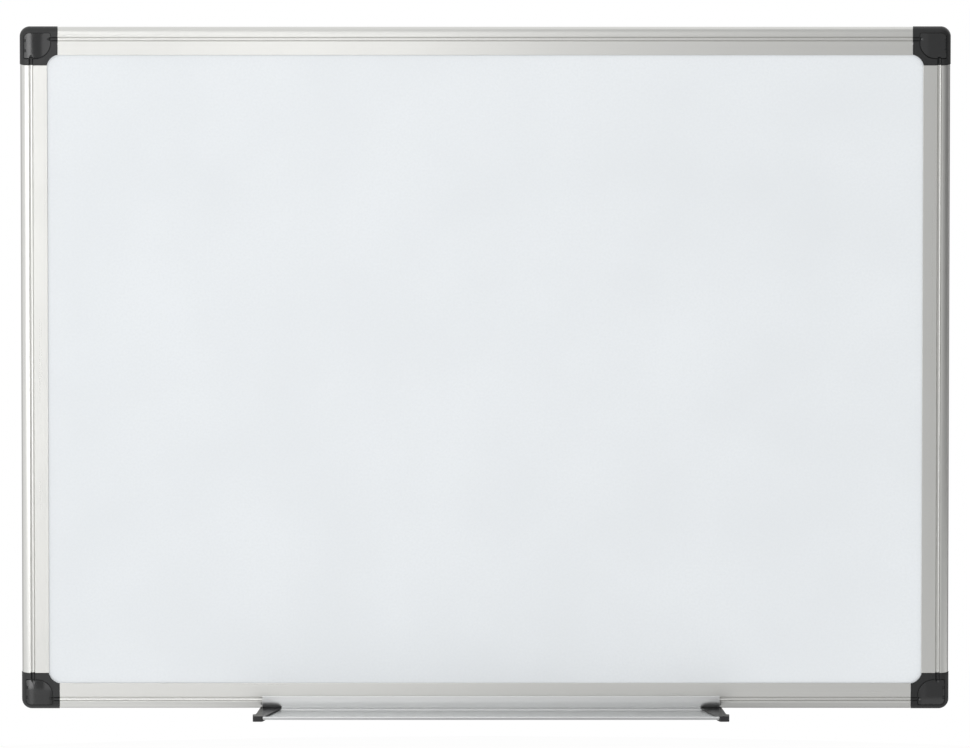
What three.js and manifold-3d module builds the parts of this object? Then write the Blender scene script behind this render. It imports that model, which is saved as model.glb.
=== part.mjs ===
// A wall-hung melamine writing board in an extruded aluminium frame, with black corner
// caps, hinged screw covers and a pen tray that hooks on the bottom rail.
// Millimetres. X runs to the right, Y into the wall, Z up. The back rests on the plane
// y = 0 and the origin is the middle of the board's outline on that plane.

import * as THREE from 'three';
import { mergeVertices } from 'three/addons/utils/BufferGeometryUtils.js';
import ManifoldModule from 'manifold-3d';

const wasm = await ManifoldModule();
wasm.setup();

// The board over its rails.
const boardWidth = 1200;
const boardHeight = 900;

// Clearance between pieces that touch, and how far a cut runs past what it cuts.
const seat = 0.3;
const overrun = 5;

// The rail's section. Across is measured in from the outer edge, height out from the wall.
const railFace = 35;
const railDepth = 17;
const railWall = 1.6;
const railEdgeRound = 0.5;
const beadRadius = 11;
const grooveLand = 0.1;
const grooveRadius = 2.8;
const chamberSpan = 21;
const backInset = 2.2;
const frontLip = 1.5;
const rearLip = 1.5;
const rearLipReach = 8;

// The writing panel: three bonded layers with their corners cut off behind the caps.
const faceSheetThickness = 0.6;
const coreThickness = 8;
const backingThickness = 0.6;
const panelEdgeGap = 2.4;
const panelCornerCut = 25;

// The corner cap.
const capArm = 48.2;
const capProud = 0.6;
const capCornerRadius = 13;
const capHollowRadius = 18;
const capHollowCentre = 52;
const capPanelGap = 1.8;
const capFloor = 4;

// The screw cover in the cap, and the recess that it closes.
const coverSideMargin = 5;
const coverTopMargin = 6.2;
const coverFar = 39;
const coverCornerRadius = 7;
const coverSmallRadius = 2;
const coverFarRadius = 20;
const coverThickness = 2.6;
const coverGap = 0.6;
const recessCornerRadius = 5.8;
const ledgeWidth = 2.2;
const pocketNear = 12;
const pocketCornerRadius = 2;
const catchLength = 8;
const catchThickness = 1.2;
const catchDepth = 2.4;

// The cover's hinge: a barrel on the cover turns between two knuckles of the cap.
const barrelRadius = 1.4;
const barrelLength = 9.4;
const pinRadius = 0.7;
const pinLength = 2.4;
const pinClearance = 0.15;
const knuckleWidth = 3;
const troughInside = 1.8;
const troughDepth = 1.9;

// The hole for the wall screw, in the floor of the recess.
const wallHoleRadius = 3.25;
const countersinkRadius = 6;
const countersinkDepth = 2.75;
const bossRadius = 8;
const bossHeight = 1.2;

// The cap's tongues in the rails, and the small screws that hold them.
const tongueLength = 40;
const tongueClearance = 0.4;
const tongueNose = 6;
const tongueTaper = 1.2;
const screwSet = 20;
const screwHeadRadius = 3.3;
const screwHeadHeight = 1.5;
const screwCrownRadius = 2;
const screwRim = 0.5;
const screwShankRadius = 1.6;
const screwLength = 8.5;
const screwPoint = 2;
const screwHoleClearance = 0.4;

// The pen tray. It hooks in the rail's groove and rests on the bead.
const trayLength = 593;
const trayOffset = 7.5;
const trayReach = 72;
const trayFloor = 1.6;
const trayFlange = 1.5;
const trayLipHeight = 4.4;
const trayLipThickness = 2.2;
const trayLipRound = 1;
const trayFillet = 1.2;
const trayLegBack = 6.5;
const trayStepFront = 3;
const trayStepHeight = 0.8;
const hookRadius = 1.6;
const hookDepth = 0.8;
const flangeCrest = 1.6;
const flangeFootAngle = 43;
const flangeHeelAngle = 50;

// The tray's moulded ends.
const endWall = 1.3;
const endSkin = 1.4;
const endTop = 3.7;
const endWebReach = 23;
const endWebFront = 5;
const endWebWaist = 14;
const endWebTurn = 23;
const endFlare = 6.3;
const endBlockOut = 12;
const endBlockIn = 1;
const endBlockDepth = 11.4;
const endBlockFront = 2;
const endBlockRound = 2;

// Facets of the round stretches.
const beadSteps = 8;
const footSteps = 2;
const grooveSteps = 8;
const cornerSteps = 8;
const smallSteps = 3;
const roundSides = 16;
const bossSides = 24;

// Places that follow from the sizes above.
const grooveCentre = beadRadius + grooveLand + grooveRadius;
const beadHeight = railDepth - beadRadius;
const chamberTop = railDepth - railWall;
const panelFront = railDepth - frontLip - seat;
const panelBack = panelFront - faceSheetThickness - coreThickness - backingThickness;
const panelInset = chamberSpan + panelEdgeGap;
const capFront = railDepth + capProud;
const coverUnder = capFront - coverThickness;
const ledgeHeight = coverUnder - seat;
const hingeAcross = coverSideMargin + barrelRadius;
const hingeHeight = capSurface(hingeAcross) - barrelRadius;
const hingeMiddle = (coverTopMargin + coverFar) / 2;
const tongueMiddle = chamberSpan / 2;

const blackPlastic = { color: 0x2b2c2e, roughness: 0.35, metalness: 0 };
const finishes = {
  aluminium: { color: 0xcfcfcc, roughness: 0.35, metalness: 1 },
  melamine: { color: 0xe8ecef, roughness: 0.25, metalness: 0 },
  fibreboard: { color: 0x9a7a55, roughness: 0.9, metalness: 0 },
  backing: { color: 0xcfcac0, roughness: 0.8, metalness: 0 },
  cap: blackPlastic,
  cover: blackPlastic,
  trayEnd: blackPlastic,
  screw: { color: 0xb9bcc0, roughness: 0.4, metalness: 1 },
};

// Closed meshes and solids.

// One closed, indexed mesh: equal vertices are joined and empty triangles dropped.
function weld(geometry) {
  const bare = geometry.clone();
  bare.deleteAttribute('normal');
  bare.deleteAttribute('uv');
  const joined = mergeVertices(bare);
  const index = joined.index.array;
  const kept = [];
  for (let i = 0; i < index.length; i += 3) {
    const [a, b, c] = [index[i], index[i + 1], index[i + 2]];
    if (a !== b && b !== c && c !== a) kept.push(a, b, c);
  }
  joined.setIndex(kept);
  return joined;
}

function toSolid(geometry) {
  const closed = weld(geometry);
  return new wasm.Manifold(new wasm.Mesh({
    numProp: 3,
    vertProperties: new Float32Array(closed.attributes.position.array),
    triVerts: new Uint32Array(closed.index.array),
  }));
}

function toGeometry(solid) {
  const mesh = solid.getMesh();
  const geometry = new THREE.BufferGeometry();
  geometry.setAttribute('position', new THREE.BufferAttribute(new Float32Array(mesh.vertProperties), 3));
  geometry.setIndex(new THREE.BufferAttribute(new Uint32Array(mesh.triVerts), 1));
  geometry.computeVertexNormals();
  return geometry;
}

function join(first, ...others) {
  return others.reduce((whole, piece) => whole.add(toSolid(piece)), toSolid(first));
}

function cut(solid, ...tools) {
  return tools.reduce((rest, tool) => rest.subtract(toSolid(tool)), solid);
}

// The same piece for the opposite hand, its faces still pointing out.
function mirrorGeometry(geometry) {
  const twin = geometry.clone();
  twin.scale(-1, 1, 1);
  const index = twin.index.array;
  for (let i = 0; i < index.length; i += 3) {
    [index[i], index[i + 1]] = [index[i + 1], index[i]];
  }
  twin.computeVertexNormals();
  return twin;
}

// Outlines.

// Points of an arc, angles in degrees, both ends included.
function arc(x, y, radius, from, to, steps) {
  const points = [];
  for (let i = 0; i <= steps; i += 1) {
    const angle = THREE.MathUtils.degToRad(from + ((to - from) * i) / steps);
    points.push(new THREE.Vector2(x + radius * Math.cos(angle), y + radius * Math.sin(angle)));
  }
  return points;
}

function point(x, y) {
  return new THREE.Vector2(x, y);
}

// An outline swept along an axis. Its two coordinates lie on the other two axes.
function sweepX(points, start, end, holes = []) {
  return sweep(points, end - start, holes).applyMatrix4(new THREE.Matrix4().makeBasis(
    new THREE.Vector3(0, 1, 0), new THREE.Vector3(0, 0, 1), new THREE.Vector3(1, 0, 0),
  )).translate(start, 0, 0);
}

function sweepY(points, start, end, holes = []) {
  return sweep(points, end - start, holes).applyMatrix4(new THREE.Matrix4().makeBasis(
    new THREE.Vector3(1, 0, 0), new THREE.Vector3(0, 0, 1), new THREE.Vector3(0, -1, 0),
  )).translate(0, end, 0);
}

function sweepZ(points, start, end, holes = []) {
  return sweep(points, end - start, holes).translate(0, 0, start);
}

function sweep(points, length, holes) {
  const shape = new THREE.Shape(points);
  shape.holes = holes.map((hole) => new THREE.Path(hole));
  return new THREE.ExtrudeGeometry(shape, { depth: length, bevelEnabled: false, steps: 1 });
}

function circle(x, y, radius, sides) {
  return arc(x, y, radius, 0, 360, sides).slice(1);
}

function rectangle(left, right, low, high) {
  return [point(left, low), point(right, low), point(right, high), point(left, high)];
}

// The height of the cap's bead over a place measured in from the board's outer edge.
function capSurface(across) {
  return beadHeight + Math.sqrt((beadRadius + capProud) ** 2 - (beadRadius - across) ** 2);
}

// A closed skin over rings of equal point count, each ring a list of Vector3.
function loft(rings) {
  const count = rings[0].length;
  const positions = rings.flat().flatMap((p) => [p.x, p.y, p.z]);
  const index = [];
  for (let ring = 0; ring < rings.length - 1; ring += 1) {
    for (let i = 0; i < count; i += 1) {
      const low = ring * count + i;
      const lowNext = ring * count + ((i + 1) % count);
      index.push(low, lowNext, lowNext + count, low, lowNext + count, low + count);
    }
  }
  const outline = rings[0].map((p) => point(p.x, p.y));
  const last = (rings.length - 1) * count;
  for (const [a, b, c] of THREE.ShapeUtils.triangulateShape(outline, [])) {
    index.push(a, c, b, last + a, last + b, last + c);
  }
  const geometry = new THREE.BufferGeometry();
  geometry.setAttribute('position', new THREE.Float32BufferAttribute(positions, 3));
  geometry.setIndex(index);
  return geometry;
}

// The rail: one extrusion cut to four lengths.

// Outer outline: feet on the wall, rear lip, front lip, flat band, groove, and the bead that
// runs on round to the wall.
function railOutline() {
  const rearLipFront = panelBack - seat;
  const footReach = THREE.MathUtils.radToDeg(Math.asin(beadHeight / beadRadius));
  const footAcross = beadRadius - Math.sqrt(beadRadius ** 2 - beadHeight ** 2) + railWall;
  return [
    point(footAcross, 0),
    point(footAcross, backInset),
    point(chamberSpan - railWall, backInset),
    point(chamberSpan - railWall, 0),
    point(chamberSpan, 0),
    point(chamberSpan, rearLipFront - rearLip),
    point(chamberSpan + rearLipReach, rearLipFront - rearLip),
    point(chamberSpan + rearLipReach, rearLipFront),
    point(chamberSpan, rearLipFront),
    point(chamberSpan, railDepth - frontLip),
    point(railFace, railDepth - frontLip),
    ...arc(railFace - railEdgeRound, railDepth - railEdgeRound, railEdgeRound, 0, 90, smallSteps),
    ...arc(grooveCentre, railDepth, grooveRadius, 0, -180, grooveSteps),
    ...arc(beadRadius, beadHeight, beadRadius, 90, 180 + footReach, beadSteps + footSteps),
  ];
}

// The chamber inside, one wall thickness in from the bead and the groove.
function railChamber() {
  const beadInner = beadRadius - railWall;
  const grooveInner = grooveRadius + railWall;
  const bead = point(beadRadius, beadHeight);
  const groove = point(grooveCentre, railDepth);
  const meet = circlesMeet(bead, beadInner, groove, grooveInner);
  const entry = -THREE.MathUtils.radToDeg(Math.asin(railWall / grooveInner));
  const grooveExit = THREE.MathUtils.radToDeg(Math.atan2(meet.y - groove.y, meet.x - groove.x));
  const beadEntry = THREE.MathUtils.radToDeg(Math.atan2(meet.y - bead.y, meet.x - bead.x));
  return [
    point(railWall, backInset + railWall),
    point(chamberSpan - railWall, backInset + railWall),
    point(chamberSpan - railWall, chamberTop),
    ...arc(groove.x, groove.y, grooveInner, entry, grooveExit, grooveSteps),
    ...arc(bead.x, bead.y, beadInner, beadEntry, 180, beadSteps).slice(1),
  ];
}

// Where two circles cross, on the outer side of the rail.
function circlesMeet(first, firstRadius, second, secondRadius) {
  const between = second.clone().sub(first);
  const distance = between.length();
  const along = (distance ** 2 + firstRadius ** 2 - secondRadius ** 2) / (2 * distance);
  const aside = Math.sqrt(firstRadius ** 2 - along ** 2);
  const unit = between.divideScalar(distance);
  return point(
    first.x + along * unit.x - aside * unit.y,
    first.y + along * unit.y + aside * unit.x,
  );
}

// A rail lies along Z from zero to its length, with a screw hole near each end.
function makeRail(length) {
  const tube = toSolid(sweepZ(railOutline(), 0, length, [railChamber()]));
  const holes = [screwSet - seat, length - screwSet + seat].map((place) => sweepY(
    circle(tongueMiddle, place, screwShankRadius + screwHoleClearance, roundSides),
    -overrun,
    backInset + railWall + overrun,
  ));
  return toGeometry(cut(tube, ...holes));
}

// The writing panel.

// A rectangle about the middle with its four corners cut off.
function panelOutline() {
  const right = boardWidth / 2 - panelInset;
  const top = boardHeight / 2 - panelInset;
  return [
    point(right, top - panelCornerCut),
    point(right - panelCornerCut, top),
    point(-right + panelCornerCut, top),
    point(-right, top - panelCornerCut),
    point(-right, -top + panelCornerCut),
    point(-right + panelCornerCut, -top),
    point(right - panelCornerCut, -top),
    point(right, -top + panelCornerCut),
  ];
}

function makeLayer(front, thickness) {
  return toGeometry(toSolid(sweepY(panelOutline(), -front, thickness - front)));
}

// The corner cap. X and Y run in from the board's outer edges, Z out from the wall.

// The cap's outline with its outer edges drawn in, as the bead falls away to front and wall.
function capRing(inset, height) {
  const edge = inset - capProud;
  const centre = capCornerRadius - capProud;
  const hollow = Math.sqrt(capHollowRadius ** 2 - (capHollowCentre - capArm) ** 2);
  const hollowAngle = THREE.MathUtils.radToDeg(Math.asin((capHollowCentre - capArm) / capHollowRadius));
  const points = [
    point(edge, capArm),
    ...arc(centre, centre, capCornerRadius - inset, 180, 270, cornerSteps),
    point(capArm, edge),
    point(capArm, capHollowCentre - hollow),
    ...arc(capHollowCentre, capHollowCentre, capHollowRadius,
      270 - hollowAngle, 180 + hollowAngle, cornerSteps).slice(1, -1),
    point(capHollowCentre - hollow, capArm),
  ];
  return points.map((p) => new THREE.Vector3(p.x, p.y, height));
}

function capBlock() {
  const bead = beadRadius + capProud;
  const footReach = THREE.MathUtils.radToDeg(Math.asin(beadHeight / bead));
  const steps = arc(0, beadHeight, bead, -footReach, 90, beadSteps + footSteps);
  return loft(steps.map((step) => capRing(bead - step.x, step.y)));
}

// The screw cover's outline. The recess around it is grown on every side, with a corner that
// is tighter than the cover's own, where the cover swings down beside its hinge.
function coverOutline(grow, corner = coverCornerRadius + grow) {
  const near = coverSideMargin - grow;
  const low = coverTopMargin - grow;
  const far = coverFar + grow;
  const farCorner = coverFarRadius + grow;
  const small = coverSmallRadius + grow;
  return [
    ...arc(near + corner, low + corner, corner, 180, 270, cornerSteps),
    ...arc(far - small, low + small, small, 270, 360, smallSteps),
    ...arc(far - farCorner, far - farCorner, farCorner, 0, 90, cornerSteps),
    ...arc(near + small, far - small, small, 90, 180, smallSteps),
  ];
}

// The deep recess under the cover, inside the ledge that the cover lies on.
function pocketOutline() {
  const low = coverTopMargin + ledgeWidth;
  const far = coverFar - ledgeWidth;
  const farCorner = coverFarRadius - ledgeWidth;
  const small = pocketCornerRadius;
  return [
    ...arc(pocketNear + small, low + small, small, 180, 270, smallSteps),
    ...arc(far - small, low + small, small, 270, 360, smallSteps),
    ...arc(far - farCorner, far - farCorner, farCorner, 0, 90, cornerSteps),
    ...arc(pocketNear + small, far - small, small, 90, 180, smallSteps),
  ];
}

// What lies behind the front plate, over the corner that is cut off the panel.
function panelClearance() {
  const panelCut = 2 * panelInset + panelCornerCut;
  const line = panelCut - capPanelGap * Math.SQRT2;
  const end = capArm + overrun;
  return sweepZ(
    [point(end, line - end), point(end, end), point(line - end, end)],
    -overrun,
    railDepth - frontLip,
  );
}

// A tongue's section, clear of the chamber's walls and of the bead inside.
function tongueSection(inset) {
  const low = backInset + railWall + tongueClearance + inset;
  const high = railDepth - grooveRadius - railWall - tongueClearance - inset;
  const right = chamberSpan - railWall - tongueClearance - inset;
  const radius = beadRadius - railWall - tongueClearance - inset;
  const reach = THREE.MathUtils.radToDeg(Math.asin((high - beadHeight) / radius));
  return [
    point(beadRadius - radius, low),
    point(right, low),
    point(right, high),
    ...arc(beadRadius, beadHeight, radius, 180 - reach, 180, cornerSteps),
  ];
}

// A tongue along X, tapered at its nose, with a hole for its screw.
function makeTongue() {
  const root = capArm - overrun;
  const stations = [
    [root, 0],
    [capArm + tongueLength - tongueNose, 0],
    [capArm + tongueLength, tongueTaper],
  ];
  const rings = stations.map(([along, inset]) => tongueSection(inset).map(
    (p) => new THREE.Vector3(p.x, p.y, along),
  ));
  const lying = loft(rings).applyMatrix4(new THREE.Matrix4().makeBasis(
    new THREE.Vector3(0, 1, 0), new THREE.Vector3(0, 0, 1), new THREE.Vector3(1, 0, 0),
  ));
  const pilot = sweepZ(
    circle(capArm + screwSet, tongueMiddle, screwShankRadius + seat, roundSides),
    -overrun,
    railDepth + overrun,
  );
  return cut(toSolid(lying), pilot);
}

// The other tongue: the first one turned over the cap's diagonal.
function swapXY(geometry) {
  const twin = mirrorGeometry(geometry);
  twin.rotateZ(-Math.PI / 2);
  return twin;
}

// The knuckles that hold the cover's pins, standing on the floor of the hinge trough.
function knuckle(start) {
  const post = sweepY(
    rectangle(hingeAcross - barrelRadius, hingeAcross + barrelRadius,
      hingeHeight - troughDepth - seat, hingeHeight),
    start,
    start + knuckleWidth,
  );
  const ring = sweepY(
    circle(hingeAcross, hingeHeight, barrelRadius, roundSides),
    start,
    start + knuckleWidth,
  );
  return join(post, ring);
}

function knuckleStarts() {
  const reach = barrelLength / 2 + seat;
  return [hingeMiddle - reach - knuckleWidth, hingeMiddle + reach];
}

function makeCap() {
  const holeX = (pocketNear + coverFar - ledgeWidth) / 2;
  const holeY = (coverTopMargin + coverFar) / 2;
  const grooveOnCap = (start) => sweepX(
    circle(grooveCentre, capFront, grooveRadius, roundSides),
    start,
    capArm + overrun,
  );
  const grooveStart = coverFar + coverGap / 2;
  let cap = toSolid(capBlock());
  cap = cut(
    cap,
    panelClearance(),
    sweepZ(coverOutline(coverGap, recessCornerRadius), ledgeHeight, capFront + overrun),
    sweepZ(pocketOutline(), capFloor, capFront + overrun),
    grooveOnCap(grooveStart),
    swapXY(weld(grooveOnCap(grooveStart))),
    sweepY(
      rectangle(coverSideMargin - coverGap, hingeAcross + troughInside,
        hingeHeight - troughDepth, capFront + overrun),
      coverTopMargin + coverCornerRadius / 2,
      coverFar + coverGap,
    ),
  );
  for (const start of knuckleStarts()) cap = cap.add(knuckle(start));
  cap = cap.subtract(toSolid(sweepY(
    circle(hingeAcross, hingeHeight, pinRadius + pinClearance, roundSides),
    knuckleStarts()[0] - seat,
    knuckleStarts()[1] + knuckleWidth + seat,
  )));
  const boss = sweepZ(
    circle(holeX, holeY, bossRadius, bossSides),
    capFloor / 2,
    capFloor + bossHeight,
  );
  cap = cut(
    cap.add(toSolid(boss)),
    sweepZ(circle(holeX, holeY, wallHoleRadius, roundSides), -overrun, capFloor + overrun),
    countersink(holeX, holeY),
  );
  const tongue = makeTongue();
  return toGeometry(cap.add(tongue).add(toSolid(swapXY(toGeometry(tongue)))));
}

// A cone that opens to the front, past the boss by the overrun.
function countersink(x, y) {
  const slope = (countersinkRadius - wallHoleRadius) / countersinkDepth;
  const top = capFloor + bossHeight;
  const low = top - countersinkDepth;
  const ring = (height) => circle(x, y, wallHoleRadius + (height - low) * slope, bossSides).map(
    (p) => new THREE.Vector3(p.x, p.y, height),
  );
  return loft([ring(low), ring(top + seat)]);
}

// The screw cover: the cap's own front surface inside the cover's outline, with a barrel,
// two stub pins and a catch behind it.
function makeCover() {
  const plate = toSolid(capBlock()).intersect(
    toSolid(sweepZ(coverOutline(0), coverUnder, capFront + overrun)),
  );
  const barrelStart = hingeMiddle - barrelLength / 2;
  const barrelEnd = hingeMiddle + barrelLength / 2;
  const barrel = sweepY(
    circle(hingeAcross, hingeHeight, barrelRadius, roundSides),
    barrelStart,
    barrelEnd,
  );
  const pins = sweepY(
    circle(hingeAcross, hingeHeight, pinRadius, roundSides),
    barrelStart - pinLength - seat,
    barrelEnd + pinLength + seat,
  );
  const relief = knuckleStarts().map((start) => sweepY(
    circle(hingeAcross, hingeHeight, barrelRadius + seat, roundSides),
    start - seat,
    start + knuckleWidth + seat,
  ));
  const catchFar = coverFar - ledgeWidth - coverGap;
  const catchStart = coverTopMargin + ledgeWidth + pocketCornerRadius;
  const tab = sweepY(
    [
      point(catchFar - catchThickness, coverUnder + seat),
      point(catchFar - catchThickness, coverUnder - catchDepth),
      point(catchFar - catchThickness / 2, coverUnder - catchDepth),
      point(catchFar, coverUnder - catchDepth / 2),
      point(catchFar, coverUnder + seat),
    ],
    catchStart,
    catchStart + catchLength,
  );
  const body = cut(plate, ...relief).add(toSolid(barrel)).add(toSolid(pins)).add(toSolid(tab));
  return toGeometry(body);
}

// The rear screw, its head at the wall side. It stands along Z with its head's face at zero.
function makeScrew() {
  const outline = [
    point(0, -screwHeadHeight),
    point(screwCrownRadius, -screwHeadHeight),
    point(screwHeadRadius, -screwRim),
    point(screwHeadRadius, 0),
    point(screwShankRadius, 0),
    point(screwShankRadius, screwLength - screwPoint),
    point(0, screwLength),
  ];
  const turned = new THREE.LatheGeometry(outline, roundSides).rotateX(Math.PI / 2);
  return toGeometry(toSolid(turned));
}

// The pen tray. Across is measured out from the wall, height up from the board's edge.

// The tray's section, grown on every side where an end cap has to clear it.
function traySection(grow) {
  const floorTop = -seat + grow;
  const under = -seat - trayFloor - grow;
  const front = trayReach + grow;
  const lipTop = trayLipHeight - seat - trayFloor + grow;
  const lipInner = trayReach - trayLipThickness - grow;
  const inner = beadRadius + seat - grow;
  const outer = beadRadius + seat + trayFlange + grow;
  const stepFront = railDepth + trayStepFront + grow;
  const hook = hookRadius + grow;
  const hookCentre = railDepth - hookDepth;
  const heel = THREE.MathUtils.degToRad(flangeHeelAngle);
  const heelAcross = beadHeight + inner * Math.cos(heel);
  const flangeFront = beadHeight + outer;
  const flangeBack = railDepth + seat - grow;
  const flangeTop = grooveCentre + hook + flangeCrest;
  return [
    point(trayLegBack - grow, floorTop),
    point(trayLegBack - grow, under),
    ...arc(front - trayLipRound, under + trayLipRound, trayLipRound, 270, 360, smallSteps),
    ...arc(front - trayLipRound, lipTop - trayLipRound, trayLipRound, 0, 90, smallSteps),
    ...arc(lipInner + trayLipRound, lipTop - trayLipRound, trayLipRound, 90, 180, smallSteps),
    ...arc(lipInner - trayFillet, floorTop + trayFillet, trayFillet, 360, 270, smallSteps),
    point(stepFront, floorTop),
    point(stepFront, floorTop + trayStepHeight),
    ...arc(beadHeight, beadRadius, outer, -flangeFootAngle, 0, beadSteps),
    ...arc(flangeFront - trayLipRound, flangeTop - trayLipRound, trayLipRound, 0, 90, smallSteps),
    point(flangeBack, flangeTop),
    point(flangeBack, grooveCentre + hook),
    ...arc(hookCentre, grooveCentre, hook, 90, 270, smallSteps * 2),
    point(flangeBack, grooveCentre - hook),
    ...arc(beadHeight, beadRadius, inner, 0, -flangeHeelAngle, beadSteps),
    point(heelAcross, floorTop),
  ];
}

// The tray lies along X about its own middle, with the wall at Y zero and the front at -Y.
function traySweep(grow, start, end) {
  return sweepX(traySection(grow).map((p) => point(-p.x, p.y)), start, end);
}

function makeTray() {
  return toGeometry(toSolid(traySweep(0, -trayLength / 2, trayLength / 2)));
}

// Plan of the right-hand end, from the tray's own end face out, X across and Y to the front.
function endPlan() {
  const blockBack = trayReach + endBlockFront - endBlockDepth;
  const blockFront = trayReach + endBlockFront;
  const web = new THREE.QuadraticBezierCurve(
    point(-endWebFront, trayReach - trayLipThickness),
    point(-endWebWaist, trayReach - endWebTurn),
    point(-endWebReach, railDepth),
  );
  return [
    point(seat + endWall, railDepth),
    point(seat + endWall + endFlare, blockBack - endBlockRound),
    point(endBlockOut, blockBack),
    ...arc(endBlockOut - endBlockRound, blockFront - endBlockRound, endBlockRound, 0, 90, smallSteps),
    ...arc(-endBlockIn + endBlockRound, blockFront - endBlockRound, endBlockRound, 90, 180, smallSteps),
    ...web.getPoints(cornerSteps),
  ];
}

// The tray's right-hand end: a clip that grips the floor and the lip.
function makeTrayEnd() {
  const under = -seat - trayFloor;
  const wedge = sweepZ(endPlan().map((p) => point(p.x, -p.y)), under - seat - endSkin, endTop);
  const inside = -endWebReach - overrun;
  const pocket = sweepX(
    rectangle(-(trayReach - trayLipThickness), -(railDepth + trayStepFront), -seat, endTop - endSkin),
    inside,
    seat,
  );
  return cut(toSolid(wedge), traySweep(seat, inside, seat), pocket);
}

// Assembly.

const part = new THREE.Group();

function addPiece(name, geometry, finish, parent = part) {
  const mesh = new THREE.Mesh(geometry, new THREE.MeshStandardMaterial(finishes[finish]));
  mesh.name = name;
  parent.add(mesh);
  return mesh;
}

// A group whose axes X, Y and Z point the given ways from a place.
function frameAt(place, x, y, z) {
  const group = new THREE.Group();
  group.position.copy(place);
  group.quaternion.setFromRotationMatrix(new THREE.Matrix4().makeBasis(x, y, z));
  part.add(group);
  return group;
}

const right = new THREE.Vector3(1, 0, 0);
const left = new THREE.Vector3(-1, 0, 0);
const out = new THREE.Vector3(0, -1, 0);
const up = new THREE.Vector3(0, 0, 1);
const down = new THREE.Vector3(0, 0, -1);
const halfWidth = boardWidth / 2;
const halfHeight = boardHeight / 2;

function addRails() {
  const railStart = capArm + seat;
  const acrossRail = makeRail(boardWidth - 2 * railStart);
  const uprightRail = makeRail(boardHeight - 2 * railStart);
  const places = [
    ['rail_top', acrossRail, new THREE.Vector3(halfWidth - railStart, 0, halfHeight), down, left],
    ['rail_bottom', acrossRail, new THREE.Vector3(railStart - halfWidth, 0, -halfHeight), up, right],
    ['rail_left', uprightRail, new THREE.Vector3(-halfWidth, 0, halfHeight - railStart), right, down],
    ['rail_right', uprightRail, new THREE.Vector3(halfWidth, 0, railStart - halfHeight), left, up],
  ];
  for (const [name, rail, place, inward, along] of places) {
    addPiece(name, rail, 'aluminium', frameAt(place, inward, out, along));
  }
}

function addPanel() {
  const coreFront = panelFront - faceSheetThickness;
  addPiece('face_sheet', makeLayer(panelFront, faceSheetThickness), 'melamine');
  addPiece('core_board', makeLayer(coreFront, coreThickness), 'fibreboard');
  addPiece('backing_sheet', makeLayer(coreFront - coreThickness, backingThickness), 'backing');
}

function addCorners() {
  const cap = makeCap();
  const cover = makeCover();
  const screw = makeScrew();
  const corners = [
    ['top_left', new THREE.Vector3(-halfWidth, 0, halfHeight), left, down, true],
    ['top_right', new THREE.Vector3(halfWidth, 0, halfHeight), left, down, false],
    ['bottom_left', new THREE.Vector3(-halfWidth, 0, -halfHeight), right, up, false],
    ['bottom_right', new THREE.Vector3(halfWidth, 0, -halfHeight), right, up, true],
  ];
  for (const [corner, place, x, y, mirrored] of corners) {
    const group = frameAt(place, x, y, out);
    const hand = (geometry) => (mirrored ? mirrorGeometry(geometry) : geometry);
    addPiece(`corner_cap_${corner}`, hand(cap), 'cap', group);
    addPiece(`screw_cover_${corner}`, hand(cover), 'cover', group);
    const side = mirrored ? -1 : 1;
    const across = addPiece(`corner_screw_${corner}_across`, screw, 'screw', group);
    across.position.set(side * (capArm + screwSet), tongueMiddle, backInset);
    const upright = addPiece(`corner_screw_${corner}_upright`, screw, 'screw', group);
    upright.position.set(side * tongueMiddle, capArm + screwSet, backInset);
  }
}

function addTray() {
  const group = new THREE.Group();
  group.position.set(trayOffset, 0, -halfHeight);
  part.add(group);
  const end = toGeometry(makeTrayEnd());
  addPiece('tray_channel', makeTray(), 'aluminium', group);
  addPiece('tray_end_right', end, 'trayEnd', group).position.x = trayLength / 2;
  addPiece('tray_end_left', mirrorGeometry(end), 'trayEnd', group).position.x = -trayLength / 2;
}

addRails();
addPanel();
addCorners();
addTray();

export default part;
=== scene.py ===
"""The looks of a wall-hung melamine writing board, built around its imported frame.

The board hangs on four screws in its black corner caps. Extruded aluminium rails hold the
panel, and a short aluminium pen tray hooks in the groove of the bottom rail. Metres in the
scene, millimetres in the sizes below. X runs right, Y into the wall and Z up.
"""

import logging
import math
from dataclasses import dataclass, field
from enum import Enum
from typing import Callable

import bpy
from mathutils import Euler, Matrix, Vector


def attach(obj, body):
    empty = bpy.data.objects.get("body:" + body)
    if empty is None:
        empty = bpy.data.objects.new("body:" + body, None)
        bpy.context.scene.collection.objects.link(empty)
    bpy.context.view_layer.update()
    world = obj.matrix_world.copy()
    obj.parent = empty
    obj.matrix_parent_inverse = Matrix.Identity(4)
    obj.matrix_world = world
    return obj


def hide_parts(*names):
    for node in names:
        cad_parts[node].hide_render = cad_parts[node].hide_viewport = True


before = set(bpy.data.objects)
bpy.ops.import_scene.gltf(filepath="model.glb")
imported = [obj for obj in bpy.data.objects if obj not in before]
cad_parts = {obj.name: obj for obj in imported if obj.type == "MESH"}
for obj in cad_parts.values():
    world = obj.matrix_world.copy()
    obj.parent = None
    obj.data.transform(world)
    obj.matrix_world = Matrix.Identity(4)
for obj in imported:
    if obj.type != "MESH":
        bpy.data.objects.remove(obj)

log = logging.getLogger("writing_board")

MM = 0.001
HALF_WIDTH = 600.0
HALF_HEIGHT = 450.0
# How far joined solids reach into each other or stay apart, and how far a cut runs past a face.
SEAT = 0.3
OVERRUN = 5.0
# Vertices this near are one, and a place this near is the one looked for.
WELD = 0.002
NEAR = 0.01
# The angles above which an edge is broken and a face is shaded apart.
BROKEN = math.radians(38)
CREASED = math.radians(50)
X, Y, Z = (Vector(row) for row in Matrix.Identity(3))
Span = tuple[float, float]
Place = tuple[float, float, float]


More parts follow.
